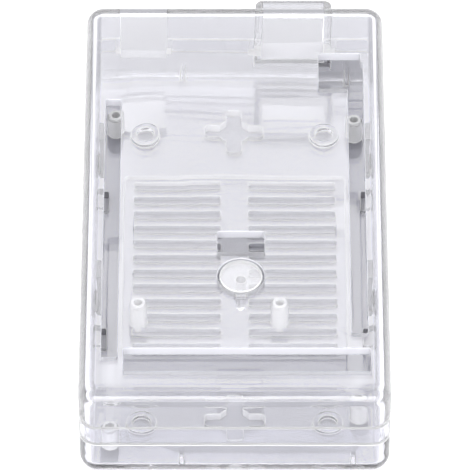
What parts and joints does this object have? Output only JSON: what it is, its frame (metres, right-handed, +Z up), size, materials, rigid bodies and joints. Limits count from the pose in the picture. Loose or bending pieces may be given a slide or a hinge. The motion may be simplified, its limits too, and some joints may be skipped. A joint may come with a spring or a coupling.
{
  "type": "electronics enclosure",
  "caption": "Clear snap-together case for a long circuit board, with connector openings, header slots, floor vents, wall keyholes and a push button.",
  "frame": {"origin": "middle of the underside of the bounding box", "axes": "+X across the case to the data socket's side, +Y along it towards the connector end, +Z up"},
  "size_m": [0.06, 0.1092, 0.0234],
  "materials": {
    "clear_shell": "clear polished moulded plastic",
    "clear_trim": "clear polished moulded plastic"
  },
  "bodies": {
    "base": {"base": "clear_shell"},
    "cover": {"top_cover": "clear_shell", "snap_arm_left_far": "clear_trim", "snap_arm_left_near": "clear_trim", "snap_arm_right_far": "clear_trim", "snap_arm_right_near": "clear_trim"},
    "button": {"reset_button": "clear_trim"}
  },
  "joints": [
    {"name": "cover_lift", "type": "slide", "parent": "base", "child": "cover", "axis": [0, 0, 1], "range_m": [0, 0.04], "deforming": ["snap_arm_left_far", "snap_arm_left_near", "snap_arm_right_far", "snap_arm_right_near"]},
    {"name": "reset_button_press", "type": "hinge", "parent": "cover", "child": "button", "pos_m": [0.0012, -0.0288, 0.0224], "axis": [1, 0, 0], "range_deg": [-7, 0], "stiffness_Nm_per_rad": 0.02}
  ]
}
